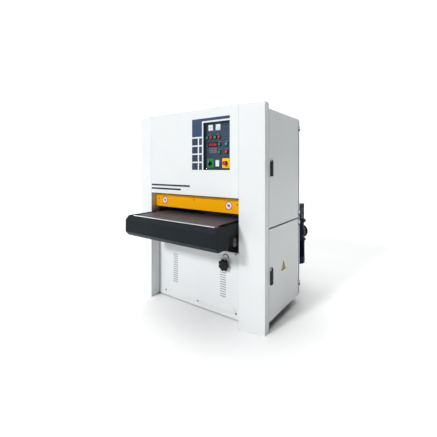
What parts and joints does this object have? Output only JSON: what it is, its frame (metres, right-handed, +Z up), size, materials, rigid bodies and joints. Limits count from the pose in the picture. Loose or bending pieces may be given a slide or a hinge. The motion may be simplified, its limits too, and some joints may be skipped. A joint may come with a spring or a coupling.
{
  "type": "wide belt drum sander",
  "caption": "Free-standing two-head wide-belt sander: tall white cabinet, recessed control panel, yellow feed guard, rising conveyor table and a variable-speed feed drive behind.",
  "frame": {"origin": "on the floor, at the centre of the four anchor holes, which is mid-width of the cabinet and halfway between its front panel and its rear covers", "axes": "+Z up, -Y towards the operator at the feed side, +X to the operator's right, where the doors are"},
  "size_m": [1.629, 1.661, 2.055],
  "materials": {
    "white_paint": "satin",
    "grey_paint": "satin",
    "dark_paint": "satin",
    "navy_paint": "satin",
    "guard_paint": "gloss",
    "duct_steel": "satin",
    "roller_steel": "polished",
    "chrome_roller": "polished",
    "cast_iron": "matte",
    "aluminium": "satin",
    "roller_rubber": "matte",
    "belt_rubber": "matte",
    "v_belt_rubber": "matte",
    "abrasive_cloth": "coarse",
    "panel_plastic": "satin",
    "meter_plastic": "gloss",
    "black_plastic": "satin",
    "green_plastic": "gloss",
    "red_plastic": "gloss",
    "screw_steel": "blackened"
  },
  "bodies": {
    "frame": {"base_frame": "grey_paint", "upper_frame": "grey_paint", "left_column_cover": "white_paint", "right_column_cover": "white_paint", "upper_front_panel": "white_paint", "lower_front_panel": "white_paint", "top_cover": "white_paint", "dust_ducts": "duct_steel", "rear_covers": "white_paint", "cable_gland": "black_plastic", "left_side_covers": "white_paint", "control_panel": "panel_plastic", "panel_meters": "meter_plastic", "cover_screws": "screw_steel", "door_hinges": "screw_steel", "main_motors": "navy_paint", "drive_belts": "v_belt_rubber", "lift_jacks": "cast_iron", "lift_gearmotor": "navy_paint", "lift_chain": "screw_steel", "head_beams": "cast_iron", "front_sanding_belt": "abrasive_cloth", "rear_sanding_belt": "abrasive_cloth"},
    "table": {"table_frame": "grey_paint", "table_cover": "dark_paint", "conveyor_belt": "belt_rubber", "worm_gearbox": "navy_paint", "speed_variator": "navy_paint", "conveyor_motor": "navy_paint", "lift_screws": "roller_steel"},
    "feed_guard": {"feed_guard": "guard_paint"},
    "right_upper_door": {"right_upper_door": "white_paint"},
    "right_lower_door": {"right_lower_door": "white_paint"},
    "upper_door_handle": {"upper_door_handle": "black_plastic"},
    "lower_door_handle": {"lower_door_handle": "black_plastic"},
    "support_roller": {"support_roller": "chrome_roller"},
    "idler_roller": {"idler_roller": "roller_steel"},
    "drive_roller": {"drive_roller": "roller_steel"},
    "variator_handwheel": {"variator_handwheel": "black_plastic"},
    "lift_handwheel": {"lift_handwheel": "black_plastic"},
    "front_contact_roller": {"front_contact_roller": "roller_rubber"},
    "rear_contact_roller": {"rear_contact_roller": "roller_rubber"},
    "front_tension_roller": {"front_tension_roller": "aluminium"},
    "rear_tension_roller": {"rear_tension_roller": "aluminium"},
    "front_tension_yoke": {"front_tension_yoke": "aluminium"},
    "rear_tension_yoke": {"rear_tension_yoke": "aluminium"},
    "front_pressure_roller": {"front_pressure_roller": "roller_rubber"},
    "rear_pressure_roller": {"rear_pressure_roller": "roller_rubber"},
    "front_motor_pulley": {"front_motor_pulley": "cast_iron"},
    "rear_motor_pulley": {"rear_motor_pulley": "cast_iron"},
    "rotary_switch": {"rotary_switch": "black_plastic"},
    "emergency_stop": {"emergency_stop": "red_plastic"},
    "front_head_start": {"front_head_start": "green_plastic"},
    "front_head_stop": {"front_head_stop": "red_plastic"},
    "rear_head_start": {"rear_head_start": "green_plastic"},
    "rear_head_stop": {"rear_head_stop": "red_plastic"},
    "table_up": {"table_up": "green_plastic"},
    "table_down": {"table_down": "green_plastic"},
    "feed_start": {"feed_start": "green_plastic"},
    "feed_stop": {"feed_stop": "red_plastic"}
  },
  "joints": [
    {"name": "table_lift", "type": "slide", "parent": "frame", "child": "table", "axis": [0, 0, 1], "range_m": [-0.11, 0.045]},
    {"name": "lift_handwheel_turn", "type": "hinge", "parent": "frame", "child": "lift_handwheel", "pos_m": [0.345, -0.3075, 0.505], "axis": [0, 1, 0], "range_deg": [-3970, 1630]},
    {"name": "drive_roller_turn", "type": "hinge", "parent": "table", "child": "drive_roller", "pos_m": [0, 0.7505, 0.896], "axis": [1, 0, 0], "continuous": true},
    {"name": "idler_roller_turn", "type": "hinge", "parent": "table", "child": "idler_roller", "pos_m": [0, -0.6255, 0.896], "axis": [1, 0, 0], "continuous": true},
    {"name": "support_roller_turn", "type": "hinge", "parent": "table", "child": "support_roller", "pos_m": [0, -0.7065, 0.927], "axis": [1, 0, 0], "continuous": true},
    {"name": "speed_adjust", "type": "hinge", "parent": "table", "child": "variator_handwheel", "pos_m": [0.662, 0.8745, 0.664], "axis": [0, 1, 0], "range_deg": [-540, 540]},
    {"name": "front_contact_roller_turn", "type": "hinge", "parent": "frame", "child": "front_contact_roller", "pos_m": [0, -0.1395, 1.0912], "axis": [1, 0, 0], "continuous": true},
    {"name": "front_belt_tension", "type": "slide", "parent": "frame", "child": "front_tension_yoke", "axis": [0, 0, 1], "range_m": [-0.025, 0], "deforming": ["front_sanding_belt"]},
    {"name": "front_tension_roller_turn", "type": "hinge", "parent": "front_tension_yoke", "child": "front_tension_roller", "pos_m": [0, -0.1395, 1.8052], "axis": [1, 0, 0], "continuous": true},
    {"name": "front_motor_turn", "type": "hinge", "parent": "frame", "child": "front_motor_pulley", "pos_m": [0, -0.1395, 0.262], "axis": [1, 0, 0], "continuous": true},
    {"name": "front_pressure_roller_turn", "type": "hinge", "parent": "frame", "child": "front_pressure_roller", "pos_m": [0, -0.2545, 1.0285], "axis": [1, 0, 0], "continuous": true},
    {"name": "rear_contact_roller_turn", "type": "hinge", "parent": "frame", "child": "rear_contact_roller", "pos_m": [0, 0.2205, 1.0912], "axis": [1, 0, 0], "continuous": true},
    {"name": "rear_belt_tension", "type": "slide", "parent": "frame", "child": "rear_tension_yoke", "axis": [0, 0, 1], "range_m": [-0.025, 0], "deforming": ["rear_sanding_belt"]},
    {"name": "rear_tension_roller_turn", "type": "hinge", "parent": "rear_tension_yoke", "child": "rear_tension_roller", "pos_m": [0, 0.2205, 1.8052], "axis": [1, 0, 0], "continuous": true},
    {"name": "rear_motor_turn", "type": "hinge", "parent": "frame", "child": "rear_motor_pulley", "pos_m": [0, 0.2205, 0.262], "axis": [1, 0, 0], "continuous": true},
    {"name": "rear_pressure_roller_turn", "type": "hinge", "parent": "frame", "child": "rear_pressure_roller", "pos_m": [0, 0.3625, 1.0285], "axis": [1, 0, 0], "continuous": true},
    {"name": "guard_swing", "type": "hinge", "parent": "frame", "child": "feed_guard", "pos_m": [0, -0.3575, 1.135], "axis": [1, 0, 0], "range_deg": [0, 10]},
    {"name": "upper_door_swing", "type": "hinge", "parent": "frame", "child": "right_upper_door", "pos_m": [0.8135, 0.4045, 1.4], "axis": [0, 0, 1], "range_deg": [0, 105]},
    {"name": "lower_door_swing", "type": "hinge", "parent": "frame", "child": "right_lower_door", "pos_m": [0.8135, 0.4045, 0.5], "axis": [0, 0, 1], "range_deg": [0, 105]},
    {"name": "upper_handle_pull", "type": "hinge", "parent": "right_upper_door", "child": "upper_door_handle", "pos_m": [0.812, -0.27, 1.496], "axis": [0, -1, 0], "range_deg": [0, 40]},
    {"name": "lower_handle_pull", "type": "hinge", "parent": "right_lower_door", "child": "lower_door_handle", "pos_m": [0.812, -0.27, 0.544], "axis": [0, -1, 0], "range_deg": [0, 40]},
    {"name": "front_head_start_press", "type": "slide", "parent": "frame", "child": "front_head_start", "axis": [0, 1, 0], "range_m": [0, 0.004], "stiffness_N_per_m": 300},
    {"name": "front_head_stop_press", "type": "slide", "parent": "frame", "child": "front_head_stop", "axis": [0, 1, 0], "range_m": [0, 0.004], "stiffness_N_per_m": 300},
    {"name": "rear_head_start_press", "type": "slide", "parent": "frame", "child": "rear_head_start", "axis": [0, 1, 0], "range_m": [0, 0.004], "stiffness_N_per_m": 300},
    {"name": "rear_head_stop_press", "type": "slide", "parent": "frame", "child": "rear_head_stop", "axis": [0, 1, 0], "range_m": [0, 0.004], "stiffness_N_per_m": 300},
    {"name": "table_up_press", "type": "slide", "parent": "frame", "child": "table_up", "axis": [0, 1, 0], "range_m": [0, 0.004], "stiffness_N_per_m": 300},
    {"name": "table_down_press", "type": "slide", "parent": "frame", "child": "table_down", "axis": [0, 1, 0], "range_m": [0, 0.004], "stiffness_N_per_m": 300},
    {"name": "feed_start_press", "type": "slide", "parent": "frame", "child": "feed_start", "axis": [0, 1, 0], "range_m": [0, 0.004], "stiffness_N_per_m": 300},
    {"name": "feed_stop_press", "type": "slide", "parent": "frame", "child": "feed_stop", "axis": [0, 1, 0], "range_m": [0, 0.004], "stiffness_N_per_m": 300},
    {"name": "emergency_stop_press", "type": "slide", "parent": "frame", "child": "emergency_stop", "axis": [0, 1, 0], "range_m": [0, 0.006], "stiffness_N_per_m": 500},
    {"name": "rotary_switch_turn", "type": "hinge", "parent": "frame", "child": "rotary_switch", "pos_m": [0.227, -0.3935, 1.476], "axis": [0, 1, 0], "range_deg": [-45, 45]}
  ],
  "couplings": [
    {"joint": "lift_handwheel_turn", "follows": "table_lift", "rad_per_m": 628.32},
    {"joint": "idler_roller_turn", "follows": "drive_roller_turn", "ratio": 1},
    {"joint": "front_tension_roller_turn", "follows": "front_contact_roller_turn", "ratio": 1.495},
    {"joint": "front_motor_turn", "follows": "front_contact_roller_turn", "ratio": 0.8333},
    {"joint": "rear_tension_roller_turn", "follows": "rear_contact_roller_turn", "ratio": 1.495},
    {"joint": "rear_motor_turn", "follows": "rear_contact_roller_turn", "ratio": 0.8333}
  ]
}
